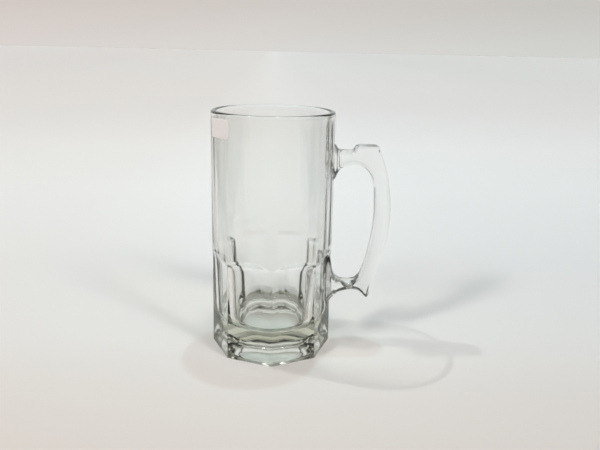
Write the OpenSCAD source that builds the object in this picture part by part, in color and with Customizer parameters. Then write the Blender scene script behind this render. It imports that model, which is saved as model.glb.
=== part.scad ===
// Tall pressed-glass beer mug: a round wall over a foot of flat, arch-topped panels,
// a handle with a thumb rest and a spur, and a bare paper sticker under the lip.
// Millimetres. +Z is up, the origin is on the mug's axis in the plane of the table,
// and the handle reaches out along +X.

/* [Wall] */
// Height from the table to the top of the lip
mug_h = 203; // [170:1:230]
// Outside diameter of the round wall just above the panels
waist_d = 102.4; // [92:0.2:112]
// How much smaller the outside diameter is at the lip
lip_taper = 1.4; // [-3:0.1:6]
// Thickness of the wall at the lip, which ends in a half round
lip_wall = 4.3; // [3:0.1:6]

/* [Panels] */
// Number of flat panels around the foot
panel_count = 8; // [6:1:12]
// Height of the crown of each panel's arch
crown_z = 88.7; // [70:0.1:110]
// How deep the top of a panel lies under the round wall, at the panel's middle
panel_depth = 4.4; // [3.8:0.1:6]
// How far the rounded corners under the arches lie in from the round wall
corner_drop = 0.6; // [0.3:0.1:1.5]
// How much wider the foot is at the table than under the arches
foot_flare = 1.6; // [0:0.1:5]
// Lean of the shoulder over each panel, in degrees from upright
shoulder_lean = 31; // [22:1:40]
// Radius of the cove between a panel and its shoulder
cove_r = 9; // [3:0.5:14]
// Radius along the bottom edge of the foot
foot_edge_r = 0.8; // [0.4:0.1:3]

/* [Hollow] */
// Thickness of the glass under the hollow
floor_t = 25; // [22:0.5:34]
// Thickness of the wall at the throat, where the hollow starts to narrow
throat_wall = 4.7; // [4:0.1:7]
// Height of the throat above the crowns
throat_rise = 7; // [4:0.5:20]
// Thickness of the glass between a panel's middle and the foot of the hollow
well_wall = 6; // [4:0.1:12]
// Radius between the hollow's floor and its side
well_edge_r = 9; // [4:0.5:16]
// Width of the ring that the mug rests on, at a panel's middle
rest_w = 6.6; // [4:0.1:12]
// Depth of the dish pressed into the underside, at its middle
dish_depth = 16; // [10:0.5:18]
// How much higher the middle of the dish is than the edge of its top
dish_dome = 7; // [1:0.5:7.5]
// Lean of the dish's side, in degrees from the table
dish_lean = 60; // [45:1:75]
// Radius between the dish's side and its top
dish_edge_r = 3.5; // [1:0.5:6]

/* [Handle] */
// Distance from the wall to the outside of the grip
handle_depth = 49.1; // [40:0.1:60]
// Height of the flat thumb rest
thumb_z = 175.5; // [160:0.5:184]
// Height of the spur's tip
spur_z = 43; // [36:0.5:54]
// Width of the grip, across the handle
grip_w = 16; // [12:0.5:20]
// Width of both roots where they meet the wall
root_w = 23; // [16:0.5:28]
// Rounding of both roots' edges where they meet the wall
root_round = 9; // [4:0.5:11]
// Rounding of the edges that face the mug
inner_round = 2.2; // [1:0.1:4]
// Rounding of the edges that face the palm
outer_round = 6.5; // [3:0.1:8]

/* [Sticker] */
// Width of the sticker, along the wall
sticker_w = 27; // [15:0.5:40]
// Height of the sticker
sticker_h = 15; // [8:0.5:30]
// Thickness of the paper with its adhesive
sticker_t = 0.15; // [0.1:0.01:0.4]
// Distance from the top of the lip to the sticker's top edge
sticker_drop = 4.8; // [4:0.1:30]
// Direction of the sticker's middle, in degrees from the handle
sticker_turn = 213; // [150:1:250]

/* [Hidden] */
$fn = 96;
// Overrun of every cut past the face that it leaves
cut = 2;
// How far a straight face ends inside the round one that it runs into, so that they cross
ease = 0.02;
// Points along each rounded edge of the handle's section, and rings between two stations
edge_steps = 4;
ring_steps = 2;
// Most of the handle's width or depth that one rounded edge may take
edge_share = 0.45;

waist_r = waist_d / 2;
lip_d = waist_d - lip_taper;
waist_flats = waist_d - 2 * panel_depth;
foot_flats = waist_flats + foot_flare;
waist_corners = waist_d - 2 * corner_drop;
foot_corners = waist_corners + foot_flare;
throat_d = waist_d - 2 * throat_wall;
well_d = foot_flats - 2 * well_wall;
dish_r = foot_flats / 2 - rest_w;
lip_r = lip_wall / 2 + ease;
lip_centre = [lip_d / 2 - lip_r, mug_h - lip_r];
// Where the wall's two faces run into the half round of the lip
outer_seat = lip_centre + [lip_wall / 2, 0];
inner_seat = lip_centre - [lip_wall / 2, 0];
throat_z = crown_z + throat_rise;
panel_turn = 360 / panel_count;
// Top of a panel, where its plane would meet the shoulder without the cove
panel_top = [waist_flats / 2, crown_z - (waist_r - waist_flats / 2) / tan(shoulder_lean)];
panel_foot = [foot_flats / 2, 0];

// Stations of the handle from its upper root to its lower one. Each row holds a point on the
// palm side, the point across from it on the mug side, its share of the root's width and
// rounding over the grip's, and its share of outer_round. A point is a share of the reach
// from the wall to the grip, then a share of the height from the spur's tip to the thumb rest.
station_shares = [
    // Upper root, inside the wall and flaring onto it
    [[-0.090, 1.022], [-0.090, 0.755], 1.00, 0.35],
    [[0.000, 1.006], [0.000, 0.789], 0.92, 0.35],
    [[0.040, 0.984], [0.038, 0.822], 0.62, 0.35],
    [[0.096, 0.971], [0.098, 0.856], 0.30, 0.35],
    // Top bar
    [[0.180, 0.966], [0.190, 0.876], 0.10, 0.35],
    [[0.300, 0.966], [0.300, 0.884], 0.06, 0.32],
    // Thumb rest
    [[0.338, 0.977], [0.336, 0.884], 0.06, 0.28],
    [[0.374, 0.996], [0.370, 0.883], 0.06, 0.25],
    [[0.414, 1.000], [0.402, 0.881], 0.06, 0.25],
    [[0.546, 1.000], [0.489, 0.868], 0.06, 0.25],
    [[0.684, 1.000], [0.560, 0.845], 0.06, 0.25],
    [[0.738, 0.993], [0.604, 0.824], 0.06, 0.30],
    [[0.755, 0.974], [0.628, 0.809], 0.06, 0.45],
    // Grip
    [[0.829, 0.909], [0.666, 0.772], 0.05, 0.85],
    [[0.922, 0.796], [0.699, 0.717], 0.02, 1.00],
    [[0.984, 0.660], [0.716, 0.634], 0.00, 1.00],
    [[1.000, 0.543], [0.723, 0.551], 0.00, 1.00],
    [[0.982, 0.423], [0.709, 0.460], 0.00, 1.00],
    [[0.929, 0.317], [0.682, 0.377], 0.00, 1.00],
    [[0.855, 0.226], [0.635, 0.287], 0.00, 0.95],
    [[0.778, 0.136], [0.582, 0.211], 0.00, 0.85],
    // Spur
    [[0.721, 0.062], [0.538, 0.163], 0.00, 0.70],
    [[0.674, 0.010], [0.505, 0.137], 0.00, 0.50],
    [[0.640, 0.000], [0.485, 0.128], 0.00, 0.40],
    [[0.595, 0.014], [0.468, 0.122], 0.00, 0.35],
    // Lower bar
    [[0.536, 0.034], [0.444, 0.114], 0.00, 0.35],
    [[0.454, 0.048], [0.393, 0.106], 0.02, 0.35],
    [[0.352, 0.053], [0.312, 0.102], 0.05, 0.35],
    [[0.230, 0.045], [0.210, 0.105], 0.12, 0.35],
    [[0.128, 0.029], [0.130, 0.120], 0.30, 0.35],
    // Lower root, flaring onto the wall and inside it
    [[0.057, 0.010], [0.069, 0.146], 0.55, 0.35],
    [[0.008, -0.011], [0.029, 0.186], 0.78, 0.35],
    [[-0.029, -0.034], [0.002, 0.236], 0.92, 0.35],
    [[-0.076, -0.060], [-0.030, 0.279], 1.00, 0.35],
    [[-0.150, -0.070], [-0.110, 0.305], 1.00, 0.35],
];

// Point where a line from a point outside a circle touches it: side -1 is to the right of
// the way to the centre, and 1 is to the left
function tangent_point(start, centre, r, side) =
    let (
        way = centre - start,
        reach = norm(way),
        turn = atan2(way.y, way.x) + side * asin(r / reach),
        length = sqrt(reach * reach - r * r)
    )
    start + length * [cos(turn), sin(turn)];

// Point on a smooth curve through four values, between the second and the third
function spline(a, b, c, d, t) =
    b + t * ((c - a) / 2
    + t * ((2 * a - 5 * b + 4 * c - d) / 2
    + t * (3 * (b - c) + d - a) / 2));

// Outside radius of the round wall at a height
function wall_r(z) =
    waist_r + (outer_seat.x - waist_r) * (z - crown_z) / (outer_seat.y - crown_z);

// One station in real sizes: palm-side point, mug-side point, width, outer rounding and
// inner rounding
function handle_place(share) = [
    waist_r + share.x * handle_depth,
    spur_z + share.y * (thumb_z - spur_z),
];
function station(row) = [
    handle_place(row[0]),
    handle_place(row[1]),
    grip_w + row[2] * (root_w - grip_w),
    row[3] * outer_round + row[2] * (root_round - row[3] * outer_round),
    inner_round + row[2] * (root_round - inner_round),
];
stations = [for (row = station_shares) station(row)];

// A smooth row of stations, with ring_steps spans between each two in the table
function between(i, t) =
    let (
        last = len(stations) - 1,
        a = stations[max(i - 1, 0)],
        b = stations[i],
        c = stations[i + 1],
        d = stations[min(i + 2, last)]
    )
    [for (k = [0:4]) spline(a[k], b[k], c[k], d[k], t)];
ring_rows = [
    for (i = [0:len(stations) - 2], s = [0:ring_steps - 1]) between(i, s / ring_steps),
    stations[len(stations) - 1],
];

// Quarter of an ellipse about a corner's centre, from one angle on
function corner(centre, along, across, start) = [
    for (s = [0:edge_steps])
        let (turn = start + 90 * s / edge_steps)
            centre + [along * cos(turn), across * sin(turn)],
];

// Section of the handle as [distance from the mug side, distance across]
function section(length, width, outer, inner) =
    let (
        outer_edge = min(outer, width * edge_share, length * edge_share),
        inner_edge = min(inner, width * edge_share, length * edge_share),
        inner_side = width / 2 - inner_edge,
        outer_side = width / 2 - outer_edge
    )
    concat(
        corner([length - outer_edge, outer_side], outer_edge, outer_edge, 0),
        corner([inner_edge, inner_side], inner_edge, inner_edge, 90),
        corner([inner_edge, -inner_side], inner_edge, inner_edge, 180),
        corner([length - outer_edge, -outer_side], outer_edge, outer_edge, 270)
    );

// One ring of the handle in space, for a row of ring_rows
function ring(row) =
    let (
        way = row[0] - row[1],
        length = norm(way)
    )
    [for (p = section(length, row[2], row[3], row[4]))
        let (at = row[1] + way * p.x / length)
            [at.x, p.y, at.y]];

// Outline of the solid round blank, up to where the lip's half round starts
module blank_outline() {
    polygon([
        [0, 0],
        [foot_corners / 2, 0],
        [waist_corners / 2, panel_top.y],
        [waist_r, crown_z],
        outer_seat,
        [0, outer_seat.y],
    ]);
}

// Section of what is cut away outside one panel: its plane, cove, shoulder and foot edge
module panel_cut_outline() {
    down = (panel_foot - panel_top) / norm(panel_foot - panel_top);
    up = [sin(shoulder_lean), cos(shoulder_lean)];
    half_turn = acos(down * up) / 2;
    cove_reach = cove_r / tan(half_turn);
    inward = (down + up) / norm(down + up);
    outside = waist_r + cut;
    above = crown_z + cut / tan(shoulder_lean);
    polygon([
        panel_foot + cut * down,
        panel_top + cove_reach * down,
        panel_top + cove_reach * up,
        [outside, above],
        [outside, -cut],
    ]);
    translate(panel_top + inward * cove_r / sin(half_turn)) circle(r = cove_r + ease);
    difference() {
        translate([panel_foot.x - foot_edge_r, -cut])
            square([foot_edge_r + cut, foot_edge_r + cut]);
        translate([panel_foot.x - foot_edge_r, foot_edge_r]) circle(r = foot_edge_r);
    }
}

module panel_cut() {
    rotate([90, 0, 0])
        translate([0, 0, -waist_r])
            linear_extrude(waist_d) panel_cut_outline();
}

module panel_cuts() {
    for (i = [0:panel_count - 1])
        rotate((i + 0.5) * panel_turn) panel_cut();
}

// Outline of the hollow: wall, throat, narrowing side, rounded floor
module hollow_outline() {
    side_top = [throat_d / 2, throat_z];
    side_foot = [well_d / 2, floor_t + well_edge_r];
    edge_centre = [side_foot.x - well_edge_r, side_foot.y];
    seat = tangent_point(side_top, edge_centre, well_edge_r - ease, 1);
    polygon([
        [0, floor_t],
        [edge_centre.x, floor_t],
        edge_centre,
        seat,
        side_top,
        inner_seat,
        [inner_seat.x, mug_h],
        [0, mug_h],
    ]);
    translate(edge_centre) circle(r = well_edge_r);
}

// Outline of the glass in section, with its half-round lip
module glass_outline() {
    difference() {
        blank_outline();
        hollow_outline();
    }
    translate(lip_centre) circle(r = lip_r);
}

// Outline of the dish in the underside: a leaning side, a rounded edge and a top that is a
// cap of a large ball
module dish_outline() {
    ball_r = (dish_r * dish_r + dish_dome * dish_dome) / (2 * dish_dome);
    ball_centre = [0, dish_depth - ball_r];
    up = [-cos(dish_lean), sin(dish_lean)];
    inward = [-sin(dish_lean), -cos(dish_lean)];
    // The rounded edge's circle, moved up along the side until it touches the ball from inside
    reach = ball_r - dish_edge_r;
    start = [dish_r, 0] + dish_edge_r * inward;
    way = start - ball_centre;
    rise = sqrt(pow(way * up, 2) + reach * reach - way * way) - way * up;
    edge_centre = start + rise * up;
    outward = (edge_centre - ball_centre) / reach;
    intersection() {
        polygon([
            [0, -cut],
            [dish_r + cut / tan(dish_lean), -cut],
            [dish_r, 0] + rise * up,
            edge_centre,
            edge_centre + (dish_edge_r + cut) * outward,
            [0, dish_depth + cut],
        ]);
        translate(ball_centre) circle(r = ball_r, $fn = 4 * $fn);
    }
    translate(edge_centre) circle(r = dish_edge_r + ease);
}

module mug_body() {
    color("honeydew", 0.5)
        difference() {
            rotate_extrude() glass_outline();
            panel_cuts();
            rotate_extrude() dish_outline();
        }
}

module handle() {
    rings = [for (row = ring_rows) ring(row)];
    around = len(rings[0]);
    last = len(rings) - 1;
    points = [for (r = rings, p = r) p];
    sides = [
        for (i = [0:last - 1], k = [0:around - 1])
            let (
                a = i * around + k,
                b = i * around + (k + 1) % around
            )
            each [[a, b, b + around], [a, b + around, a + around]]
    ];
    start_cap = [[for (k = [around - 1:-1:0]) k]];
    end_cap = [[for (k = [0:around - 1]) last * around + k]];
    color("honeydew", 0.5)
        difference() {
            polyhedron(points, concat(sides, start_cap, end_cap));
            difference() {
                rotate_extrude() blank_outline();
                panel_cuts();
            }
        }
}

module sticker() {
    top_z = mug_h - sticker_drop;
    foot_z = top_z - sticker_h;
    turn = sticker_w / wall_r(top_z) * 180 / PI;
    color("white")
        rotate(sticker_turn - turn / 2)
            rotate_extrude(angle = turn)
                polygon([
                    [wall_r(foot_z), foot_z],
                    [wall_r(foot_z) + sticker_t, foot_z],
                    [wall_r(top_z) + sticker_t, top_z],
                    [wall_r(top_z), top_z],
                ]);
}

mug_body();
handle();
sticker();
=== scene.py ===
# Looks of a tall pressed-glass beer mug: round wall over eight arch-topped panels, handle with
# a thumb rest and a spur, and a bare paper sticker. Metres, +Z up, the handle along +X.
import math

import bpy
import numpy as np
from bpy.props import FloatProperty, FloatVectorProperty, IntProperty, PointerProperty
from mathutils import Matrix, Vector


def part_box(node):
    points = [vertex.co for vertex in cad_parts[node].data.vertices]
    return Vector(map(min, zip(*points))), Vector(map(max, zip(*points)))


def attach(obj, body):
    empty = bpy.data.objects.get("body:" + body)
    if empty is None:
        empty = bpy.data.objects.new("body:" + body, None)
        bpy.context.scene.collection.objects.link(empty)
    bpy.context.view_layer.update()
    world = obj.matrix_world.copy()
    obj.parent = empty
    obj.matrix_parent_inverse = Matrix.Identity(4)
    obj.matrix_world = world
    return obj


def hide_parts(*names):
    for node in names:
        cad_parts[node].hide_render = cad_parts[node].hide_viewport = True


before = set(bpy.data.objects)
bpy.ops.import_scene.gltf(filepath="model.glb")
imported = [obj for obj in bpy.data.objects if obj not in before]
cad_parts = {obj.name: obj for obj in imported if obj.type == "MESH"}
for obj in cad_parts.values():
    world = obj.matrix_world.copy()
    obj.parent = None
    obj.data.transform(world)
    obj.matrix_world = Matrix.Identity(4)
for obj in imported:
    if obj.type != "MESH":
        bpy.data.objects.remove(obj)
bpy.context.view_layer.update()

bl_info = {
    "name": "Panelled glass beer mug",
    "version": (1, 0, 0),
    "blender": (4, 5, 0),
    "location": "3D View > Sidebar > Glass mug",
    "description": "Builds a pressed-glass beer mug, its handle, its sticker and a studio",
    "category": "Object",
}

MM = 0.001
# The photograph's width and its lens in pixels, the sensor in millimetres, and where the camera
# stood and how it pointed, in radians
PHOTO_W = 600
FOCAL_PX = 623.24
SENSOR_MM = 36.0
CAMERA_PLACE = Vector((0, -0.50976, 0.25287))
CAMERA_PITCH = 0.2794
CAMERA_YAW = 0.0463
CAMERA_ROLL = 0.0231
CLIP_START = 10 * MM
# Place, diameter and colour of the two small lamps overhead, then the directions, the spread
# and the colour of the two wide soft lights, and the colour of the light from all round
LAMP_ABOVE = (0.150, 0.256, 1.9)
LAMP_ABOVE_SIZE = 0.022
LAMP_ABOVE_COLOUR = (0.50, 0.90, 1.0)
LAMP_LEFT = (-0.413, 0.113, 1.086)
LAMP_LEFT_SIZE = 0.014
LAMP_LEFT_COLOUR = (0.95, 1.0, 0.98)
SOFT_LIGHTS = {"soft_left": (-0.76, -0.65, 0.73), "soft_right": (0.68, -0.733, 0.73)}
SOFT_SPREAD = 0.18
SOFT_COLOUR = (1.0, 0.98, 0.95)
EVEN_COLOUR = (1.0, 0.975, 0.945)
FLOOR_HALF = 30.0
# Tones of the floor along its length in metres, with painted shade that makes it darker and warmer
# towards the front, of the backdrop that the camera sees, and of the room that the glass sees
# behind the mug and behind the camera, by the height of the direction
FLOOR_TONES_WITH_PAINTED_SHADE = (
    (-0.2, (0.57, 0.51, 0.48)),
    (-0.08, (0.60, 0.56, 0.54)),
    (0.0, (0.62, 0.60, 0.59)),
    (0.2, (0.63, 0.62, 0.62)),
    (0.6, (0.71, 0.71, 0.71)),
    (1.1, (0.76, 0.76, 0.76)),
    (6.0, (0.75, 0.77, 0.77)),
)
BACKDROP_TONES = (
    (0.0, (0.70, 0.68, 0.65)), (0.06, (0.64, 0.60, 0.565)), (0.3, (0.60, 0.56, 0.52)),
)
# Painted light across the floor, near and far, and across the backdrop: a painted pool of light
# in the near floor's middle by the mug, painted shade on the far floor's sides, most on the right,
# and a warmer left with a darker, cooler right on the backdrop. Each is (reach in metres or as the
# sine of the direction, left tint, middle tint, right tint)
FLOOR_PAINTED_POOL = (0.3, (1.0, 0.98, 0.965), (1.035, 1.04, 1.04), (0.99, 1.0, 1.01))
FAR_PAINTED_SIDES = (2.3, (0.97, 0.955, 0.96), (1.0, 1.0, 1.0), (0.93, 0.93, 0.93))
BACKDROP_PAINTED_SIDES = (0.4, (1.0, 0.955, 0.955), (0.998, 1.0, 1.007), (0.92, 0.955, 0.96))
# The pale sheet: its left and right edges beside the mug with their slopes behind it and in
# front, and the width of the soft change to the dark flags beyond, which only the glass shows
SHEET_LEFT = (-0.25, -0.85, 1.2)
SHEET_RIGHT = (0.29, 0.56, -1.2)
SHEET_FADE = 0.06
# How far from the mug the dark flags on both sides begin to end, and end
FLAG_REACH = (1.6, 1.9)
FLAG_TONE = (0.045, 0.044, 0.018)
# How far back the pale wall behind the mug begins for each metre to the side, and the softness
# of its edge
BACKDROP_SLOPE = 1.4
BACKDROP_FADE = 0.12
ROOM_TONES = (
    (0.0, (0.72, 0.75, 0.73)),
    (0.20, (0.79, 0.83, 0.81)),
    (0.50, (0.84, 0.88, 0.86)),
    (0.72, (0.53, 0.56, 0.54)),
    (0.90, (0.28, 0.31, 0.29)),
)
CAMERA_SIDE_TONES = (
    (0.0, (0.60, 0.60, 0.57)),
    (0.16, (0.52, 0.52, 0.49)),
    (0.30, (0.11, 0.125, 0.095)),
    (0.60, (0.05, 0.06, 0.04)),
    (0.90, (0.28, 0.31, 0.28)),
)
# Glow of the two lamps in the glass: cosine of its reach, its strength and its colour
GLOW_REACH = 0.998
GLOW = 30.0
GLOW_COLOUR = (0.8, 0.8, 0.8)
# Tones of the sticker's paper, from its thin places to its clumps of fibre, and its roughness
PAPER_TONES = ((0.3, (0.77, 0.725, 0.72)), (0.7, (0.84, 0.80, 0.79)))
PAPER_ROUGHNESS = 0.85
# Heights over which the foot starts to turn lamp light aside, and drops under the lip's top over
# which the lip does
FOOT_SHADE_Z = (30 * MM, 15 * MM)
LIP_SHADE_DROP = (3 * MM, 1 * MM)
# How finely the noise of the glass's ripples and of the paper's fibres is broken up
RIPPLE_DETAIL = 3.0
FIBRE_DETAIL = 4.0
# Rows of points over the body's skin, from the underside up, over and in, and its columns with
# the share by which they crowd towards the panels' corners
DISH_ROWS = 50
REST_ROWS = 9
FOOT_EDGE_ROWS = 8
PANEL_ROWS = 33
ARCH_ROWS = 51
WALL_ROWS = 50
LIP_ROWS = 24
HOLLOW_ROWS = 78
WELL_ROWS = 14
FLOOR_ROWS = 12
COLUMNS_PER_PANEL = 48
COLUMN_CROWDING = 0.6
# Where the dish's first row lies, as a share of its radius, how far over the crowns the close
# rows go on, and how much softer than an edge the bend at the throat is
FIRST_ROW_SHARE = 0.02
OVER_CROWNS = 2 * MM
THROAT_SOFTNESS = 4
# Where the waves in the glass fade out: near the foot and the lip, and at the dish's side as a
# share of its radius. Then the seeds of the surface's random draws.
WAVE_FADE = 8 * MM
DISH_FADE = 1 / 8
WRINKLE_SEED = 5
OUTSIDE_SEED = 11
INSIDE_SEED = 23
STIPPLE_SEED = 31
STREAK_SEED = 41
# Steps of the handle from one station to the next: those that find where it leaves the wall, and
# those of its skin. Then the rows over each fused end, and the share of the handle's length over
# which its rows turn from the wall's surface to the stations.
FINE_STEPS = 12
HANDLE_STEPS = 8
END_ROWS = 6
EASE_SHARE = 1 / 8
# Steps round a quarter corner of the handle's section and along its sides, and the most that a
# corner is rounded, as a share of the section's thinner way
CORNER_STEPS = 8
SIDE_STEPS = 6
MOST_ROUND = 0.45
STICKER_COLUMNS = 40
STICKER_ROWS = 24
MUG_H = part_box("mug_body")[1].z
STICKER_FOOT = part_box("sticker")[0].z
STICKER_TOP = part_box("sticker")[1].z

# Stations of the handle from its upper root to its lower one: a point on the palm side, the
# point across from it on the mug side, the share of the root's width and rounding over the
# grip's, and the share of the outer rounding. A point is a share of the depth from the wall
# to the grip, then a share of the height from the spur's tip to the thumb rest.
STATION_SHARES = (
    # Upper root
    (-0.090, 1.022, -0.090, 0.755, 1.00, 0.35),
    (0.000, 1.006, 0.000, 0.789, 0.92, 0.35),
    (0.040, 0.984, 0.038, 0.822, 0.62, 0.35),
    (0.096, 0.971, 0.098, 0.856, 0.30, 0.35),
    # Top bar
    (0.180, 0.966, 0.190, 0.876, 0.10, 0.35),
    (0.300, 0.966, 0.300, 0.884, 0.06, 0.32),
    # Thumb rest
    (0.338, 0.977, 0.336, 0.884, 0.06, 0.28),
    (0.374, 0.996, 0.370, 0.883, 0.06, 0.25),
    (0.414, 1.000, 0.402, 0.881, 0.06, 0.25),
    (0.546, 1.000, 0.489, 0.868, 0.06, 0.25),
    (0.684, 1.000, 0.560, 0.845, 0.06, 0.25),
    (0.738, 0.993, 0.604, 0.824, 0.06, 0.30),
    (0.755, 0.974, 0.628, 0.809, 0.06, 0.45),
    # Grip
    (0.829, 0.909, 0.666, 0.772, 0.05, 0.85),
    (0.922, 0.796, 0.699, 0.717, 0.02, 1.00),
    (0.984, 0.660, 0.716, 0.634, 0.00, 1.00),
    (1.000, 0.543, 0.723, 0.551, 0.00, 1.00),
    (0.982, 0.423, 0.709, 0.460, 0.00, 1.00),
    (0.929, 0.317, 0.682, 0.377, 0.00, 1.00),
    (0.855, 0.226, 0.635, 0.287, 0.00, 0.95),
    (0.778, 0.136, 0.582, 0.211, 0.00, 0.85),
    # Spur
    (0.721, 0.062, 0.538, 0.163, 0.00, 0.70),
    (0.674, 0.010, 0.505, 0.137, 0.00, 0.50),
    (0.640, 0.000, 0.485, 0.128, 0.00, 0.40),
    (0.595, 0.014, 0.468, 0.122, 0.00, 0.35),
    # Lower bar
    (0.536, 0.034, 0.444, 0.114, 0.00, 0.35),
    (0.454, 0.048, 0.393, 0.106, 0.02, 0.35),
    (0.352, 0.053, 0.312, 0.102, 0.05, 0.35),
    (0.230, 0.045, 0.210, 0.105, 0.12, 0.35),
    (0.128, 0.029, 0.130, 0.120, 0.30, 0.35),
    # Lower root
    (0.057, 0.010, 0.069, 0.146, 0.55, 0.35),
    (0.008, -0.011, 0.029, 0.186, 0.78, 0.35),
    (-0.029, -0.034, 0.002, 0.236, 0.92, 0.35),
    (-0.076, -0.060, -0.030, 0.279, 1.00, 0.35),
    (-0.150, -0.070, -0.110, 0.305, 1.00, 0.35),
)


def length(name, description, millimetres, low=0.0):
    """A length property with its default in millimetres."""
    return FloatProperty(
        name=name, description=description, default=millimetres * MM, min=low, unit="LENGTH"
    )


class BodySizes(bpy.types.PropertyGroup):
    """Sizes of the pressed body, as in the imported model."""

    waist_d: length("Waist", "Outside diameter of the round wall over the panels", 102.4)
    lip_taper: length("Lip taper", "How much smaller the lip is than the waist", 1.4, -1.0)
    lip_wall: length("Lip wall", "Thickness of the wall at the lip", 4.3)
    crown_z: length("Crown height", "Height of the crown of each arch", 88.7)
    panel_depth: length("Panel depth", "Depth of a panel's top under the round wall", 4.4)
    corner_drop: length("Corner drop", "How far the corners lie in from the wall", 0.6)
    foot_flare: length("Foot flare", "How much wider the foot is than the arches", 1.6)
    cove_r: length("Cove", "Radius between a panel and its shoulder", 9.0)
    foot_edge_r: length("Foot edge", "Radius along the bottom edge", 0.8)
    floor_t: length("Floor", "Thickness of the glass under the hollow", 25.0)
    throat_wall: length("Throat wall", "Thickness of the wall at the throat", 4.7)
    throat_rise: length("Throat rise", "Height of the throat above the crowns", 7.0)
    well_wall: length("Well wall", "Glass between a panel and the hollow's foot", 6.0)
    well_edge_r: length("Well edge", "Radius between the hollow's floor and side", 9.0)
    rest_w: length("Rest", "Width of the ring that the mug rests on, at a panel", 6.6)
    dish_depth: length("Dish depth", "Depth of the dish at its middle", 16.0)
    dish_dome: length("Dome", "Rise of the dish's middle over its sides", 7.0)
    dish_round: length("Dish rounding", "Softness between the dish's side and its top", 3.5)
    rest_round: length("Rest rounding", "Softness of the inner edge of the ring", 1.0)
    dish_lean: FloatProperty(
        name="Dish lean", description="Lean of the dish's side from the floor",
        default=math.radians(60.0), subtype="ANGLE",
    )
    edge_blend: length("Edge softness", "Softness of the fire-polished edges", 0.25)
    inner_wave: length("Inner waves", "Height of the waves that the plunger leaves", 0.06)
    outer_wave: length("Outer waves", "Height of the waves on the moulded outside", 0.04)
    streak: length("Streaks", "Height of the upright streaks in the wall", 0.09)
    foot_wave: length("Foot waves", "Height of the chill wrinkles of the underside", 0.02)
    stipple: length("Stipple", "Depth of the stippling on the ring that the mug rests on", 0.2)
    shoulder_lean: FloatProperty(
        name="Shoulder lean", description="Lean of the shoulder over each panel, from upright",
        default=math.radians(31.0), subtype="ANGLE",
    )
    panel_count: IntProperty(
        name="Panels", description="Number of flat panels round the foot", default=8, min=3
    )


class HandleSizes(bpy.types.PropertyGroup):
    """Sizes of the handle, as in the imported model."""

    depth: length("Depth", "Distance from the wall to the outside of the grip", 49.09)
    thumb_z: length("Thumb rest", "Height of the thumb rest", 175.5)
    spur_z: length("Spur", "Height of the spur's tip", 43.0)
    grip_w: length("Grip width", "Width of the grip across the handle", 16.0)
    root_w: length("Root width", "Width of both roots at the wall", 23.0)
    root_round: length("Root rounding", "Rounding of the roots' edges", 9.0)
    inner_round: length("Inner rounding", "Rounding of the edges that face the mug", 2.2)
    outer_round: length("Outer rounding", "Rounding of the edges that face the palm", 6.5)
    sink: length("Sink", "Depth at which the fused ends stop in the wall", 0.3)


class StickerSizes(bpy.types.PropertyGroup):
    """Size and place of the paper sticker."""

    width: length("Width", "Width along the wall", 27.0)
    thickness: length("Thickness", "Thickness of the paper with its adhesive", 0.15)
    corner_r: length("Corner", "Radius of the die-cut corners", 1.2)
    fibre: length("Fibre", "Distance from one clump of paper fibres to the next", 0.8)
    turn: FloatProperty(
        name="Direction", description="Direction of the sticker's middle from the handle",
        default=math.radians(213.0), subtype="ANGLE",
    )


class GlassFinish(bpy.types.PropertyGroup):
    """Finish of the clear glass."""

    ior: FloatProperty(
        name="IOR", description="Refractive index of soda-lime glass", default=1.52, min=1.0
    )
    deep_colour: FloatVectorProperty(
        name="Deep colour", description="Colour that thick glass takes on", size=3,
        subtype="COLOR", default=(0.625, 0.615, 0.465),
    )
    density: FloatProperty(
        name="Density", description="How quickly the colour deepens, per metre", default=15.0
    )
    grip_density: FloatProperty(
        name="Grip density", description="The same for the handle's own gob of glass", default=5.0
    )
    passed: FloatVectorProperty(
        name="Lamp light passed", description="Share of lamp light that a surface lets through",
        size=3, subtype="COLOR", default=(1.0, 0.995, 0.985),
    )
    grip_passed: FloatVectorProperty(
        name="Lamp light through the grip", description="The same for the solid handle",
        size=3, subtype="COLOR", default=(0.25, 0.25, 0.23),
    )
    shade_from: FloatProperty(
        name="Shade from", description="Steepness at which a surface starts to cast a shadow",
        default=0.56, min=0.0, max=2.0,
    )
    shade_to: FloatProperty(
        name="Shade to", description="Steepness at which a surface casts a full shadow",
        default=1.0, min=0.0, max=2.0,
    )
    foot_shade: FloatProperty(
        name="Foot shade", description="Share of lamp light that the solid foot turns aside",
        default=0.5, min=0.0, max=1.0,
    )
    lip_shade: FloatProperty(
        name="Lip shade", description="Share of lamp light that the round lip turns aside",
        default=1.0, min=0.0, max=1.0,
    )
    ripple: length("Ripple", "Height of the fine ripples on the glass", 0.012)
    ripple_span: length("Ripple span", "Distance from one fine ripple to the next", 3.0)
    seam: length("Seam", "Height of the mould's seam", 0.05)
    seam_width: length("Seam width", "Width of the mould's seam", 0.8)


class StudioLook(bpy.types.PropertyGroup):
    """Strengths of the studio's lights."""

    above_power: FloatProperty(
        name="Lamp above", description="Power of the cool lamp high over the mug", default=5.6,
        unit="POWER",
    )
    left_power: FloatProperty(
        name="Lamp on the left", description="Power of the lower lamp on the left", default=2.5,
        unit="POWER",
    )
    soft_strength: FloatProperty(
        name="Soft lights", description="Strength of each wide light in front", default=1.6
    )
    even_light: FloatProperty(
        name="Even light", description="Strength of the light from all round", default=0.30
    )


def tangent_point(start, centre, radius, side):
    """Where a line from start touches a circle: side -1 right of the way there, 1 left."""
    way = centre - start
    reach = np.hypot(*way)
    turn = math.atan2(way[1], way[0]) + side * math.asin(radius / reach)
    run = math.sqrt(reach**2 - radius**2)
    return start + run * np.array([math.cos(turn), math.sin(turn)])


def soft_least(values, blend):
    """The least of several arrays, rounded where two of them are close."""
    least = np.minimum.reduce(values)
    return least - blend * np.log(sum(np.exp((least - v) / blend) for v in values))


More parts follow.
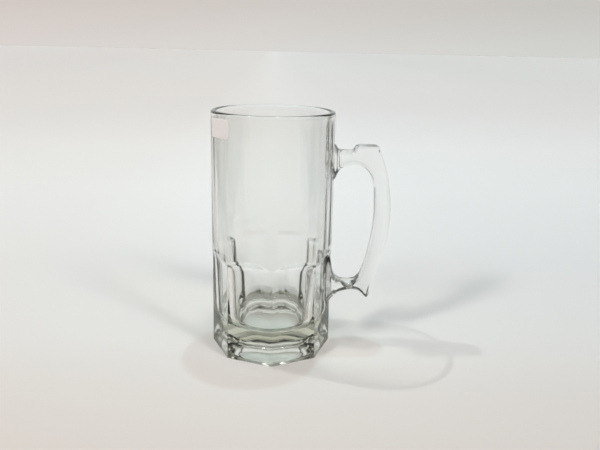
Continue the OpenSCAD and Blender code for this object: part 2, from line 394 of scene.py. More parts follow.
def line_at(a, b, z):
    """First coordinate at height z on the line through two (r, z) points."""
    return a[0] + (b[0] - a[0]) * (z - a[1]) / (b[1] - a[1])


def waves(angles, z, seed, least=2, most=12, rise=60 * MM, count=9):
    """Gentle waves round a wall, between about -1 and 1, the same on every run."""
    draw = np.random.RandomState(seed)
    total = np.zeros(np.broadcast(angles, z).shape)
    for _ in range(count):
        turns = draw.randint(least, most)
        climb = draw.uniform(-1.0, 1.0) * 2 * math.pi / rise
        phase = draw.uniform(0, 2 * math.pi)
        total += np.sin(turns * angles + climb * z + phase)
    return total / math.sqrt(count)


def wrinkles(x, y, seed, shortest=5 * MM, longest=16 * MM, count=12):
    """Gentle waves over a flat face, between about -1 and 1, the same on every run."""
    draw = np.random.RandomState(seed)
    total = np.zeros(np.broadcast(x, y).shape)
    for _ in range(count):
        heading = draw.uniform(0, 2 * math.pi)
        span = draw.uniform(shortest, longest) / (2 * math.pi)
        phase = draw.uniform(0, 2 * math.pi)
        total += np.sin((x * math.cos(heading) + y * math.sin(heading)) / span + phase)
    return total / math.sqrt(count)


class Body:
    """The pressed body's outline, worked out from its sizes."""

    def __init__(self, sizes):
        self.sizes = sizes
        self.waist_r = sizes.waist_d / 2
        self.lip_r = sizes.lip_wall / 2
        self.lip = np.array([(sizes.waist_d - sizes.lip_taper) / 2 - self.lip_r,
                             MUG_H - self.lip_r])
        self.outer_seat = self.lip + np.array([self.lip_r, 0.0])
        self.inner_seat = self.lip - np.array([self.lip_r, 0.0])
        top_r = self.waist_r - sizes.panel_depth
        top_z = sizes.crown_z - sizes.panel_depth / math.tan(sizes.shoulder_lean)
        self.panel_top = np.array([top_r, top_z])
        self.panel_foot = np.array([top_r + sizes.foot_flare / 2, 0.0])
        self.corner_r = self.waist_r - sizes.corner_drop
        self.dish_r = self.panel_foot[0] - sizes.rest_w

    def panel_at(self, z):
        """Distance of a panel's face from the mug's axis, with its cove and shoulder."""
        face = line_at(self.panel_foot, self.panel_top, z)
        shoulder = self.panel_top[0] + (z - self.panel_top[1]) * math.tan(self.sizes.shoulder_lean)
        cove = self.sizes.cove_r * math.tan(self.sizes.shoulder_lean / 2) ** 2
        return -soft_least([-face, -shoulder], cove)

    def wall_at(self, z):
        """Outside radius of the round blank."""
        wall = line_at([self.waist_r, self.sizes.crown_z], self.outer_seat, z)
        corner = self.corner_r + self.sizes.foot_flare / 2 * (1 - z / self.panel_top[1])
        return np.where(z > self.sizes.crown_z, wall, np.maximum(corner, wall))

    def outside(self, angles, z):
        """Outside radius in each direction at each height."""
        step = 2 * math.pi / self.sizes.panel_count
        off = (angles % step) - step / 2
        face = self.panel_at(z)
        faces = [face / np.cos(off), face / np.cos(step - np.abs(off))]
        return soft_least([*faces, self.wall_at(z) + 0 * angles], self.sizes.edge_blend)

    def dish_at(self, r):
        """Height of the underside at a distance from the axis."""
        dome = self.sizes.dish_depth - self.sizes.dish_dome * (r / self.dish_r) ** 2
        side = (self.dish_r - r) * math.tan(self.sizes.dish_lean)
        cap = soft_least([dome, side], self.sizes.dish_round)
        soft = self.sizes.rest_round
        return soft * np.logaddexp(0, cap / soft)

    def hollow(self):
        """Outline of the hollow from the lip to the floor's middle, as (r, z) rows."""
        s = self.sizes
        throat = np.array([self.waist_r - s.throat_wall, s.crown_z + s.throat_rise])
        well_r = self.panel_foot[0] - s.well_wall
        centre = np.array([well_r - s.well_edge_r, s.floor_t + s.well_edge_r])
        seat = tangent_point(throat, centre, s.well_edge_r, 1)
        wall_z = np.linspace(self.inner_seat[1], seat[1], HOLLOW_ROWS + 2)[1:-1]
        upper = line_at(self.inner_seat, throat, wall_z)
        lower = line_at(throat, seat, wall_z)
        bend = THROAT_SOFTNESS * s.edge_blend
        wall = np.stack([soft_least([upper, lower], bend), wall_z], 1)
        start = math.atan2(seat[1] - centre[1], seat[0] - centre[0])
        turn = np.linspace(start, -math.pi / 2, WELL_ROWS)[:, None]
        edge = centre + s.well_edge_r * np.hstack([np.cos(turn), np.sin(turn)])
        inward = np.linspace(centre[0], 0, FLOOR_ROWS + 2)[1:-1, None]
        floor = np.hstack([inward, np.full_like(inward, s.floor_t)])
        return np.vstack([wall, edge, floor])


def panel_angles(count):
    """Directions round the mug, closer together at the panels' corners."""
    t = np.arange(COLUMNS_PER_PANEL) / COLUMNS_PER_PANEL * 2 - 1
    across = (1 - COLUMN_CROWDING) * t + COLUMN_CROWDING * np.sin(t * math.pi / 2)
    step = 2 * math.pi / count
    return (np.arange(count)[:, None] * step + step / 2 + across * step / 2).ravel()


def body_rings(body, angles):
    """Rings of points over the body's whole skin, from the underside up, over and in."""
    s = body.sizes
    rings = []

    def add(radius, z):
        radius = radius + 0 * angles
        z = z + 0 * angles
        rings.append(np.stack([radius * np.cos(angles), radius * np.sin(angles), z], 1))

    edge = s.foot_edge_r
    foot = body.outside(angles, np.full_like(angles, edge))
    for share in np.linspace(FIRST_ROW_SHARE, 1.0, DISH_ROWS):
        r = share * body.dish_r
        fade = min(1.0, (1 - share) / DISH_FADE)
        lumps = wrinkles(r * np.cos(angles), r * np.sin(angles), WRINKLE_SEED)
        add(r, body.dish_at(r) + s.foot_wave * fade * lumps)
    grain = np.random.RandomState(STIPPLE_SEED)
    for share in np.linspace(0.0, 1.0, REST_ROWS + 2)[1:-1]:
        r = body.dish_r + share * (foot - edge - body.dish_r)
        grains = s.stipple * grain.uniform(0, 1, len(angles))
        add(r, body.dish_at(r) * (1 - share) + grains)
    for turn in np.linspace(0, math.pi / 2, FOOT_EDGE_ROWS, endpoint=False):
        add(foot - edge * (1 - math.sin(turn)), edge * (1 - math.cos(turn)))
    arch_low = body.panel_top[1] - s.cove_r / 2
    arch_high = s.crown_z + OVER_CROWNS
    heights = np.concatenate([
        np.linspace(edge, arch_low, PANEL_ROWS, endpoint=False),
        np.linspace(arch_low, arch_high, ARCH_ROWS, endpoint=False),
        np.linspace(arch_high, body.outer_seat[1], WALL_ROWS),
    ])
    for z in heights:
        fade = np.clip((body.outer_seat[1] - z) / WAVE_FADE, 0, 1) * np.clip(z / WAVE_FADE, 0, 1)
        ripple = s.outer_wave * fade * waves(angles, z, OUTSIDE_SEED)
        add(body.outside(angles, np.full_like(angles, z)) - s.outer_wave + ripple, z)
    for turn in np.linspace(0, math.pi, LIP_ROWS + 1)[1:]:
        add(body.lip[0] + body.lip_r * math.cos(turn), body.lip[1] + body.lip_r * math.sin(turn))
    for r, z in body.hollow():
        fade = np.clip((body.inner_seat[1] - z) / WAVE_FADE, 0, 1) * min(1.0, r / body.waist_r)
        ripple = s.inner_wave * waves(angles, z, INSIDE_SEED)
        ripple += s.streak * waves(angles, z, STREAK_SEED, least=14, most=40, rise=400 * MM)
        add(r + fade * ripple, z)
    return rings


def skin(name, rings, low_pole, high_pole):
    """A closed mesh over rings of points, each end closed at a pole."""
    around = len(rings[0])
    points = [tuple(p) for ring in rings for p in ring]
    low = len(points)
    high = low + 1
    last = low - around
    points += [tuple(low_pole), tuple(high_pole)]
    faces = []
    for i in range(len(rings) - 1):
        for k in range(around):
            a = i * around + k
            b = i * around + (k + 1) % around
            faces.append((a, b, b + around, a + around))
    faces += [(low, (k + 1) % around, k) for k in range(around)]
    faces += [(high, last + k, last + (k + 1) % around) for k in range(around)]
    return new_piece(name, points, faces)


def new_piece(name, points, faces):
    """A smooth-shaded mesh object in the scene."""
    mesh = bpy.data.meshes.new(name)
    mesh.from_pydata(points, [], faces)
    mesh.polygons.foreach_set("use_smooth", [True] * len(mesh.polygons))
    mesh.update()
    piece = bpy.data.objects.new(name, mesh)
    bpy.context.scene.collection.objects.link(piece)
    return piece


def spline(rows, t):
    """Point at t, counted in rows, on a smooth curve through all the rows."""
    last = len(rows) - 1
    i = np.clip(np.floor(t).astype(int), 0, last - 1)
    u = (t - i)[..., None]
    a = rows[np.maximum(i - 1, 0)]
    b = rows[i]
    c = rows[i + 1]
    d = rows[np.minimum(i + 2, last)]
    return b + u * ((c - a) / 2 + u * ((2 * a - 5 * b + 4 * c - d) / 2
                                       + u * (3 * (b - c) + d - a) / 2))


def handle_section(depth, width, outer, inner):
    """Section of the handle as (distance from the mug side, distance across) points."""
    most = MOST_ROUND * min(depth, width)
    outer = min(outer, most)
    inner = min(inner, most)
    turn = np.linspace(0, math.pi / 2, CORNER_STEPS + 1)
    palm = np.stack([depth - outer + outer * np.cos(turn),
                     width / 2 - outer + outer * np.sin(turn)], 1)
    mug = np.stack([inner - inner * np.sin(turn), width / 2 - inner + inner * np.cos(turn)], 1)
    side = np.linspace(palm[-1], mug[0], SIDE_STEPS + 1)[1:-1]
    mid_palm = np.linspace([depth, 0.0], palm[0], SIDE_STEPS // 2 + 1)[:-1]
    mid_mug = np.linspace(mug[-1], [0.0, 0.0], SIDE_STEPS // 2 + 1)[1:]
    half = np.vstack([mid_palm, palm, side, mug, mid_mug])
    other = half[-2:0:-1] * [1, -1]
    return np.vstack([half, other])


def handle_rows(sizes, waist_r):
    """The stations in real sizes: palm point, mug point, width, outer and inner rounding."""
    rise = sizes.thumb_z - sizes.spur_z
    rows = []
    for palm_x, palm_z, mug_x, mug_z, root, rounding in STATION_SHARES:
        outer = rounding * sizes.outer_round
        rows.append([
            waist_r + palm_x * sizes.depth, sizes.spur_z + palm_z * rise,
            waist_r + mug_x * sizes.depth, sizes.spur_z + mug_z * rise,
            sizes.grip_w + root * (sizes.root_w - sizes.grip_w),
            outer + root * (sizes.root_round - outer),
            sizes.inner_round + root * (sizes.root_round - sizes.inner_round),
        ])
    return np.array(rows)


def handle_ring(row):
    """One ring of the handle in space."""
    mug = row[2:4]
    way = row[0:2] - mug
    depth = np.hypot(*way)
    section = handle_section(depth, *row[4:])
    at = mug + way * section[:, :1] / depth
    return np.stack([at[:, 0], -section[:, 1], at[:, 1]], 1)


def first_outside(lines, body, sink):
    """How far along each line, in steps, it leaves the wall less the sink."""
    reach = np.hypot(lines[..., 0], lines[..., 1])
    angles = np.arctan2(lines[..., 1], lines[..., 0])
    over = reach - (body.outside(angles, lines[..., 2]) - sink)
    starts = np.empty(lines.shape[1])
    for k in range(lines.shape[1]):
        i = int(np.argmax(over[:, k] > 0))
        starts[k] = i - over[i, k] / (over[i, k] - over[i - 1, k])
    return starts


def handle_rings(sizes, body):
    """Rings of the handle, with both ends cut to the wall's own surface."""
    rows = handle_rows(sizes, body.waist_r)
    span = len(rows) - 1
    t = np.linspace(0, span, span * FINE_STEPS + 1)
    lines = np.array([handle_ring(row) for row in spline(rows, t)])
    start = first_outside(lines, body, sizes.sink) / FINE_STEPS
    end = span - first_outside(lines[::-1], body, sizes.sink) / FINE_STEPS
    rings = []
    for share in np.linspace(0, 1, span * HANDLE_STEPS + 1):
        at = start + share * (end - start)
        ease_in = max(0.0, 1 - share / EASE_SHARE)
        ease_out = max(0.0, 1 - (1 - share) / EASE_SHARE)
        even = start.mean() + share * (end.mean() - start.mean())
        at = even + (at - even) * max(ease_in, ease_out)
        index = np.clip(at * FINE_STEPS, 0, len(lines) - 1)
        low = np.minimum(np.floor(index).astype(int), len(lines) - 2)
        part = (index - low)[:, None]
        k = np.arange(lines.shape[1])
        rings.append(lines[low, k] * (1 - part) + lines[low + 1, k] * part)
    return rings


def end_rings(ring, body, sink):
    """Rings that close one fused end over the wall's own surface, down to its middle."""
    centre = ring.mean(0)
    rings = []
    for share in np.linspace(1, 0, END_ROWS + 1)[1:]:
        flat = centre + share * (ring - centre)
        angles = np.arctan2(flat[:, 1], flat[:, 0])
        radius = body.outside(angles, flat[:, 2]) - sink
        rings.append(np.stack([radius * np.cos(angles), radius * np.sin(angles), flat[:, 2]], 1))
    return rings


def feed(tree, socket, value):
    """Give an input a plain number or colour, or another node's output."""
    if isinstance(value, bpy.types.NodeSocket):
        tree.links.new(value, socket)
    elif isinstance(value, tuple):
        socket.default_value = (*value, 1)
    else:
        socket.default_value = value


def maths(tree, operation, *values):
    """The output of a math node over numbers and other nodes' outputs."""
    node = tree.nodes.new("ShaderNodeMath")
    node.operation = operation
    for socket, value in zip(node.inputs, values):
        feed(tree, socket, value)
    return node.outputs[0]


def spread(tree, value, start, end, low=0.0, high=1.0, smooth=False):
    """A value that runs from low to high while another runs from start to end."""
    node = tree.nodes.new("ShaderNodeMapRange")
    node.interpolation_type = "SMOOTHSTEP" if smooth else "LINEAR"
    given = {"Value": value, "From Min": start, "From Max": end, "To Min": low, "To Max": high}
    for name, setting in given.items():
        feed(tree, node.inputs[name], setting)
    return node.outputs["Result"]


def mixed(tree, share, first, second, blend="MIX"):
    """A colour mixed from two others, each a plain colour or another node's output."""
    node = tree.nodes.new("ShaderNodeMix")
    node.data_type = "RGBA"
    node.blend_type = blend
    for name, value in (("Factor", share), ("A", first), ("B", second)):
        feed(tree, node.inputs[name], value)
    return node.outputs["Result"]


def toned(tree, share, stops):
    """A colour from a ramp with (position, colour) stops in order."""
    node = tree.nodes.new("ShaderNodeValToRGB")
    ramp = node.color_ramp
    while len(ramp.elements) > 1:
        ramp.elements.remove(ramp.elements[-1])
    ramp.elements[0].position = stops[0][0]
    ramp.elements[0].color = (*stops[0][1], 1)
    for position, shade in stops[1:]:
        ramp.elements.new(position).color = (*shade, 1)
    tree.links.new(share, node.inputs["Fac"])
    return node.outputs["Color"]


def position(tree):
    """The place that is shaded."""
    return tree.nodes.new("ShaderNodeNewGeometry").outputs["Position"]


def parts(tree, vector):
    """The X, Y and Z of a place or a direction, by name."""
    split = tree.nodes.new("ShaderNodeSeparateXYZ")
    tree.links.new(vector, split.inputs[0])
    return split.outputs


def noise(tree, place, per_metre, detail):
    """Fine noise with a number of bumps for each metre."""
    node = tree.nodes.new("ShaderNodeTexNoise")
    node.inputs["Detail"].default_value = detail
    feed(tree, node.inputs["Scale"], per_metre)
    tree.links.new(place, node.inputs["Vector"])
    return node.outputs["Fac"]


def effect(tree, build, kind, values):
    """The output of a node group that materials share, each giving its own values by name."""
    name = build.__name__
    if name not in bpy.data.node_groups:
        group = bpy.data.node_groups.new(name, "ShaderNodeTree")
        sockets = group.interface
        for label in values:
            sockets.new_socket(name=label, in_out="INPUT", socket_type="NodeSocketFloat")
        sockets.new_socket(name="Effect", in_out="OUTPUT", socket_type=kind)
        given = group.nodes.new("NodeGroupInput").outputs
        out = group.nodes.new("NodeGroupOutput")
        group.links.new(build(group, given), out.inputs["Effect"])
    node = tree.nodes.new("ShaderNodeGroup")
    node.node_tree = bpy.data.node_groups[name]
    for label, value in values.items():
        node.inputs[label].default_value = value
    return node.outputs["Effect"]


def new_material(name):
    """An empty node material and its tree."""
    material = bpy.data.materials.new(name)
    material.use_nodes = True
    material.node_tree.nodes.clear()
    return material, material.node_tree


def light_turned_aside(tree, given):
    """The share of lamp light that the foot and the lip turn aside."""
    height = parts(tree, position(tree))["Z"]
    foot = spread(tree, height, *FOOT_SHADE_Z, high=given["Foot shade"])
    lip_z = [MUG_H - drop for drop in LIP_SHADE_DROP]
    lip = spread(tree, height, *lip_z, high=given["Lip shade"])
    return maths(tree, "MAXIMUM", foot, lip)


def pressed_surface(tree, given):
    """The normal of pressed glass, with chill ripples and the mould's seam."""
    place = position(tree)
    ripples = noise(tree, place, given["Ripples per metre"], RIPPLE_DETAIL)
    rough = maths(tree, "MULTIPLY", ripples, given["Ripple height"])
    off_seam = maths(tree, "ABSOLUTE", parts(tree, place)["Y"])
    seam = spread(tree, off_seam, 0.0, given["Seam reach"], given["Seam height"], 0.0, smooth=True)
    bump = tree.nodes.new("ShaderNodeBump")
    bump.inputs["Distance"].default_value = 1.0
    tree.links.new(maths(tree, "ADD", rough, seam), bump.inputs["Height"])
    return bump.outputs["Normal"]


def glass_material(name, finish, density, passed_light):
    """Clear glass with its deep colour, letting lamp light through to the floor."""
    material, tree = new_material(name)
    links = tree.links
    out = tree.nodes.new("ShaderNodeOutputMaterial")
    glass = tree.nodes.new("ShaderNodeBsdfPrincipled")
    glass.inputs["Base Color"].default_value = (1, 1, 1, 1)
    glass.inputs["Metallic"].default_value = 0.0
    glass.inputs["Roughness"].default_value = 0.0
    glass.inputs["IOR"].default_value = finish.ior
    glass.inputs["Transmission Weight"].default_value = 1.0
    surface = effect(tree, pressed_surface, "NodeSocketVector", {
        "Ripples per metre": 1 / finish.ripple_span, "Ripple height": finish.ripple,
        "Seam reach": finish.seam_width / 2, "Seam height": finish.seam,
    })
    links.new(surface, glass.inputs["Normal"])
    edge = tree.nodes.new("ShaderNodeLayerWeight")
    steep = spread(tree, edge.outputs["Facing"], finish.shade_from, finish.shade_to, smooth=True)
    aside = effect(tree, light_turned_aside, "NodeSocketFloat", {
        "Foot shade": finish.foot_shade, "Lip shade": finish.lip_shade,
    })
    blocked = maths(tree, "MAXIMUM", steep, aside)
    clear = tree.nodes.new("ShaderNodeBsdfTransparent")
    passed = mixed(tree, blocked, tuple(passed_light), (0, 0, 0))
    links.new(passed, clear.inputs["Color"])
    path = tree.nodes.new("ShaderNodeLightPath")
    mix = tree.nodes.new("ShaderNodeMixShader")
    links.new(path.outputs["Is Shadow Ray"], mix.inputs["Fac"])
    links.new(glass.outputs["BSDF"], mix.inputs[1])
    links.new(clear.outputs["BSDF"], mix.inputs[2])
    links.new(mix.outputs["Shader"], out.inputs["Surface"])
    deep = tree.nodes.new("ShaderNodeVolumeAbsorption")
    deep.inputs["Color"].default_value = (*finish.deep_colour, 1)
    deep.inputs["Density"].default_value = density
    links.new(deep.outputs["Volume"], out.inputs["Volume"])
    return material


def paper_material(name, fibre):
    """Matt paper with its fibres a little unlike in tone."""
    material, tree = new_material(name)
    out = tree.nodes.new("ShaderNodeOutputMaterial")
    paper = tree.nodes.new("ShaderNodeBsdfPrincipled")
    paper.inputs["Roughness"].default_value = PAPER_ROUGHNESS
    fibres = noise(tree, position(tree), 1 / fibre, FIBRE_DETAIL)
    tree.links.new(toned(tree, fibres, PAPER_TONES), paper.inputs["Base Color"])
    tree.links.new(paper.outputs["BSDF"], out.inputs["Surface"])
    return material


class MUG_OT_body(bpy.types.Operator):
    """Build the pressed body: underside, panels, arches, wall, lip and hollow"""

    bl_idname = "mug.body"
    bl_label = "Pressed body"

    def execute(self, context):
        scene = context.scene
        body = Body(scene.mug_body)
        finish = scene.mug_glass
        angles = panel_angles(scene.mug_body.panel_count)
        rings = body_rings(body, angles)
        low = (0, 0, body.dish_at(0.0))
        piece = skin("pressed_body", rings, low, (0, 0, scene.mug_body.floor_t))
        glass = glass_material("clear_glass", finish, finish.density, finish.passed)
        piece.data.materials.append(glass)
        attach(piece, "root")
        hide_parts("mug_body")
        return {"FINISHED"}


class MUG_OT_handle(bpy.types.Operator):
    """Build the handle: two fused roots, top bar, thumb rest, grip, spur and lower bar"""

    bl_idname = "mug.handle"
    bl_label = "Handle"

    def execute(self, context):
        scene = context.scene
        body = Body(scene.mug_body)
        sizes = scene.mug_handle
        finish = scene.mug_glass
        rings = handle_rings(sizes, body)
        top = end_rings(rings[0], body, sizes.sink)
        foot = end_rings(rings[-1], body, sizes.sink)
        everything = top[-2::-1] + rings + foot[:-1]
        piece = skin("fused_handle", everything, top[-1][0], foot[-1][0])
        glass = glass_material("handle_glass", finish, finish.grip_density, finish.grip_passed)
        piece.data.materials.append(glass)
        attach(piece, "root")
        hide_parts("handle")
        return {"FINISHED"}


class MUG_OT_sticker(bpy.types.Operator):
    """Build the bare paper sticker on the wall under the lip"""

    bl_idname = "mug.sticker"
    bl_label = "Paper sticker"

    def execute(self, context):
        scene = context.scene
        body = Body(scene.mug_body)
        sizes = scene.mug_sticker
        columns = STICKER_COLUMNS
        rows = STICKER_ROWS
        points = []
        half = sizes.width / 2
        tall = (STICKER_TOP - STICKER_FOOT) / 2
        middle = (STICKER_TOP + STICKER_FOOT) / 2
        for lift in (0.0, sizes.thickness):
            for j in range(rows + 1):
                v = 2 * j / rows - 1
                z = middle + v * tall
                inset = corner_inset(abs(v) * tall, tall, sizes.corner_r)
                for i in range(columns + 1):
                    along = (2 * i / columns - 1) * (half - inset)
                    angle = sizes.turn + along / body.waist_r
                    r = float(body.outside(np.array([angle]), np.array([z]))[0]) + lift
                    points.append((r * math.cos(angle), r * math.sin(angle), z))
        piece = new_piece("paper_sticker", points, sheet_faces(columns, rows))
        piece.data.materials.append(paper_material("sticker_paper", sizes.fibre))
        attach(piece, "root")
        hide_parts("sticker")
        return {"FINISHED"}


def corner_inset(height, tall, radius):
    """How far a rounded corner draws an edge in at a height from the middle."""
    past = height - (tall - radius)
    if past <= 0:
        return 0.0
    return radius - math.sqrt(max(0.0, radius**2 - past**2))


def sheet_faces(columns, rows):
    """Faces of a thin closed sheet with a back grid and a front grid of points."""
    across = columns + 1
    layer = across * (rows + 1)
    faces = []
    for j in range(rows):
        for i in range(columns):
            a = j * across + i
            faces.append((a, a + across, a + across + 1, a + 1))
            faces.append((layer + a, layer + a + 1, layer + a + across + 1, layer + a + across))
    rim = list(range(across))
    rim += [j * across + columns for j in range(1, rows + 1)]
    rim += [rows * across + i for i in range(columns - 1, -1, -1)]
    rim += [j * across for j in range(rows - 1, 0, -1)]
    for a, b in zip(rim, rim[1:] + rim[:1]):
        faces.append((a, b, layer + b, layer + a))
    return faces


class MUG_OT_studio(bpy.types.Operator):
    """Build the paper floor, the lamps, the soft surroundings and the camera"""

    bl_idname = "mug.studio"
    bl_label = "Studio"

    def execute(self, context):
        scene = context.scene
        look = scene.mug_studio
        paper_floor()
        aim = Vector((0, 0, MUG_H / 2))
        lamp("lamp_above", LAMP_ABOVE, aim, LAMP_ABOVE_SIZE, look.above_power, LAMP_ABOVE_COLOUR)
        lamp("lamp_left", LAMP_LEFT, aim, LAMP_LEFT_SIZE, look.left_power, LAMP_LEFT_COLOUR)
        for name, direction in SOFT_LIGHTS.items():
            soft_light(name, direction, look.soft_strength)
        surroundings(scene, look.even_light)
        photo_camera(scene)
        scene.view_settings.view_transform = "Standard"
        return {"FINISHED"}


def paper_floor():
    """A wide sheet of pale paper, with painted light and shade that change gently along and across
    it.
    """
    half = FLOOR_HALF
    corners = [(-half, -half, 0), (half, -half, 0), (half, half, 0), (-half, half, 0)]
    floor = new_piece("paper_floor", corners, [(0, 1, 2, 3)])
    material, tree = new_material("paper_floor")
    out = tree.nodes.new("ShaderNodeOutputMaterial")
    paper = tree.nodes.new("ShaderNodeBsdfDiffuse")
    place = parts(tree, position(tree))
    # The paper's tone with painted shade, darker and warmer towards the front
    plain = along_floor(tree, place["Y"], FLOOR_TONES_WITH_PAINTED_SHADE)
    # Painted pool of light by the mug, warmer on the left and cooler on the right, then painted
    # shade on the far floor's sides
    near = across(tree, place["X"], FLOOR_PAINTED_POOL, plain)
    far = across(tree, place["X"], FAR_PAINTED_SIDES, near)
    flagged = mixed(tree, flags(tree, place), far, FLAG_TONE)
    tree.links.new(flagged, paper.inputs["Color"])
    tree.links.new(paper.outputs["BSDF"], out.inputs["Surface"])
    floor.data.materials.append(material)
    return floor


def flags(tree, place):
    """A mask of the dark flags beside the pale sheet, which the camera itself doesn't see."""
    along = place["Y"]
    aside = place["X"]
    left = maths(tree, "SUBTRACT", sheet_edge(tree, along, *SHEET_LEFT), aside)
    right = maths(tree, "SUBTRACT", aside, sheet_edge(tree, along, *SHEET_RIGHT))
    past = spread(tree, maths(tree, "MAXIMUM", left, right), 0.0, SHEET_FADE, smooth=True)
    aside_squared = maths(tree, "MULTIPLY", aside, aside)
    squared = maths(tree, "MULTIPLY_ADD", along, along, aside_squared)
    reach = maths(tree, "SQRT", squared)
    near = spread(tree, reach, *FLAG_REACH, low=1.0, high=0.0, smooth=True)
    path = tree.nodes.new("ShaderNodeLightPath")
    hidden = maths(tree, "SUBTRACT", 1.0, path.outputs["Is Camera Ray"])
    return maths(tree, "MULTIPLY", maths(tree, "MULTIPLY", hidden, near), past)


def sheet_edge(tree, along, beside, slope_behind, slope_in_front):
    """Where a side edge of the pale sheet is at each place along it."""
    behind = maths(tree, "MAXIMUM", along, 0.0)
    in_front = maths(tree, "MINIMUM", along, 0.0)
    edge = maths(tree, "MULTIPLY_ADD", behind, slope_behind, beside)
    return maths(tree, "MULTIPLY_ADD", in_front, slope_in_front, edge)


def along_floor(tree, place, stops):
    """A colour from stops along the floor's length, as (place in metres, colour) in order."""
    near = stops[0][0]
    far = stops[-1][0]
    share = spread(tree, place, near, far)
    return toned(tree, share, [((y - near) / (far - near), shade) for y, shade in stops])


def across(tree, place, painted_light, colour):
    """A colour with painted light that changes from the left over the middle to the right."""
    reach, left, middle, right = painted_light
    share = spread(tree, place, -reach, reach)
    shift = toned(tree, share, [(0.0, left), (0.5, middle), (1.0, right)])
    return mixed(tree, 1.0, colour, shift, blend="MULTIPLY")


def lamp(name, place, aim, diameter, power, colour):
    """A round lamp that points at a place."""
    light = bpy.data.lights.new(name, "AREA")
    light.shape = "DISK"
    light.size = diameter
    light.energy = power
    light.color = colour
    holder = bpy.data.objects.new(name, light)
    holder.location = place
    holder.rotation_euler = (aim - Vector(place)).to_track_quat("-Z", "Y").to_euler()
    bpy.context.scene.collection.objects.link(holder)


def soft_light(name, direction, strength):
    """A wide far light from a direction, which the glass doesn't mirror."""
    light = bpy.data.lights.new(name, "SUN")
    light.angle = SOFT_SPREAD
    light.energy = strength
    light.color = SOFT_COLOUR
    holder = bpy.data.objects.new(name, light)
    holder.rotation_euler = Vector(direction).to_track_quat("Z", "Y").to_euler()
    holder.visible_glossy = False
    holder.visible_transmission = False
    bpy.context.scene.collection.objects.link(holder)


def shown(tree, colour, strength=1.0):
    """A background of a colour and a strength, each plain or another node's output."""
    node = tree.nodes.new("ShaderNodeBackground")
    feed(tree, node.inputs["Color"], colour)
    feed(tree, node.inputs["Strength"], strength)
    return node.outputs[0]


def either(tree, share, first, second):
    """One of two backgrounds, or a mix of both, by a share."""
    node = tree.nodes.new("ShaderNodeMixShader")
    tree.links.new(share, node.inputs["Fac"])
    tree.links.new(first, node.inputs[1])
    tree.links.new(second, node.inputs[2])
    return node.outputs[0]


def with_glow(tree, room, direction, spot):
    """The room with a soft bright glow in the direction of a lamp."""
    towards = tree.nodes.new("ShaderNodeVectorMath")
    towards.operation = "DOT_PRODUCT"
    towards.inputs[1].default_value = Vector(spot).normalized()
    tree.links.new(direction, towards.inputs[0])
    fade = spread(tree, towards.outputs["Value"], GLOW_REACH, 1.0, high=GLOW, smooth=True)
    both = tree.nodes.new("ShaderNodeAddShader")
    tree.links.new(room, both.inputs[0])
    tree.links.new(shown(tree, GLOW_COLOUR, fade), both.inputs[1])
    return both.outputs[0]


def surroundings(scene, even_light):
    """A pale background for the camera, and a soft studio for reflections and light."""
    world = bpy.data.worlds.new("studio")
    scene.world = world
    world.use_nodes = True
    tree = world.node_tree
    tree.nodes.clear()
    out = tree.nodes.new("ShaderNodeOutputWorld")
    direction = tree.nodes.new("ShaderNodeTexCoord").outputs["Generated"]
    ways = parts(tree, direction)
    aside = ways["X"]
    height = ways["Z"]
    plain = toned(tree, height, BACKDROP_TONES)
    # Painted shade on the backdrop, darker and cooler to the right
    backdrop = shown(tree, across(tree, aside, BACKDROP_PAINTED_SIDES, plain))
    behind_mug = shown(tree, toned(tree, height, ROOM_TONES))
    behind_camera = shown(tree, toned(tree, height, CAMERA_SIDE_TONES))
    off = maths(tree, "ABSOLUTE", aside)
    ahead = maths(tree, "MULTIPLY_ADD", off, -BACKDROP_SLOPE, ways["Y"])
    side = spread(tree, ahead, -BACKDROP_FADE, BACKDROP_FADE, smooth=True)
    room = either(tree, side, behind_camera, behind_mug)
    for spot in (LAMP_ABOVE, LAMP_LEFT):
        room = with_glow(tree, room, direction, spot)
    even = shown(tree, EVEN_COLOUR, even_light)
    path = tree.nodes.new("ShaderNodeLightPath")
    lit = either(tree, path.outputs["Diffuse Depth"], room, even)
    seen = either(tree, path.outputs["Is Camera Ray"], lit, backdrop)
    tree.links.new(seen, out.inputs["Surface"])


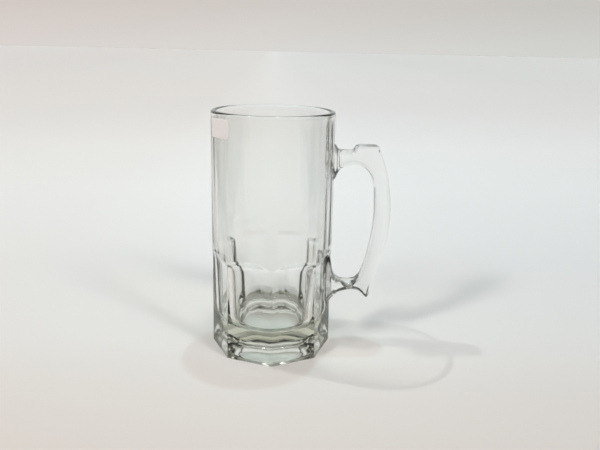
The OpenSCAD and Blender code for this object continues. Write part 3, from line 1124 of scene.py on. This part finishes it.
def photo_camera(scene):
    """The camera where the photograph was taken from."""
    forward = Vector((math.sin(CAMERA_YAW) * math.cos(CAMERA_PITCH),
                      math.cos(CAMERA_YAW) * math.cos(CAMERA_PITCH), -math.sin(CAMERA_PITCH)))
    right = Vector((math.cos(CAMERA_YAW), -math.sin(CAMERA_YAW), 0))
    up = right.cross(forward)
    turned_right = math.cos(CAMERA_ROLL) * right + math.sin(CAMERA_ROLL) * up
    turned_up = -math.sin(CAMERA_ROLL) * right + math.cos(CAMERA_ROLL) * up
    camera = bpy.data.cameras.new("photo_camera")
    camera.sensor_width = SENSOR_MM
    camera.lens = FOCAL_PX * SENSOR_MM / PHOTO_W
    camera.clip_start = CLIP_START
    holder = bpy.data.objects.new("photo_camera", camera)
    axes = Matrix((turned_right, turned_up, -forward)).transposed().to_4x4()
    holder.matrix_world = Matrix.Translation(CAMERA_PLACE) @ axes
    scene.collection.objects.link(holder)
    scene.camera = holder


class MUG_PT_pieces(bpy.types.Panel):
    """Lists the mug's pieces in the 3D view's sidebar"""

    bl_label = "Glass mug"
    bl_idname = "MUG_PT_pieces"
    bl_space_type = "VIEW_3D"
    bl_region_type = "UI"
    bl_category = "Glass mug"

    def draw(self, context):
        for operator in PIECES:
            self.layout.operator(operator.bl_idname)


GROUPS = {
    "mug_body": BodySizes,
    "mug_handle": HandleSizes,
    "mug_sticker": StickerSizes,
    "mug_glass": GlassFinish,
    "mug_studio": StudioLook,
}
PIECES = (MUG_OT_body, MUG_OT_handle, MUG_OT_sticker, MUG_OT_studio)


def register():
    for kind in (*GROUPS.values(), *PIECES, MUG_PT_pieces):
        bpy.utils.register_class(kind)
    for name, group in GROUPS.items():
        setattr(bpy.types.Scene, name, PointerProperty(type=group))


def unregister():
    for name in GROUPS:
        delattr(bpy.types.Scene, name)
    for kind in (MUG_PT_pieces, *reversed(PIECES), *reversed(GROUPS.values())):
        bpy.utils.unregister_class(kind)


def main():
    register()
    bpy.ops.mug.body()
    bpy.ops.mug.handle()
    bpy.ops.mug.sticker()
    bpy.ops.mug.studio()
    bpy.context.view_layer.update()


if __name__ == "__main__":
    main()
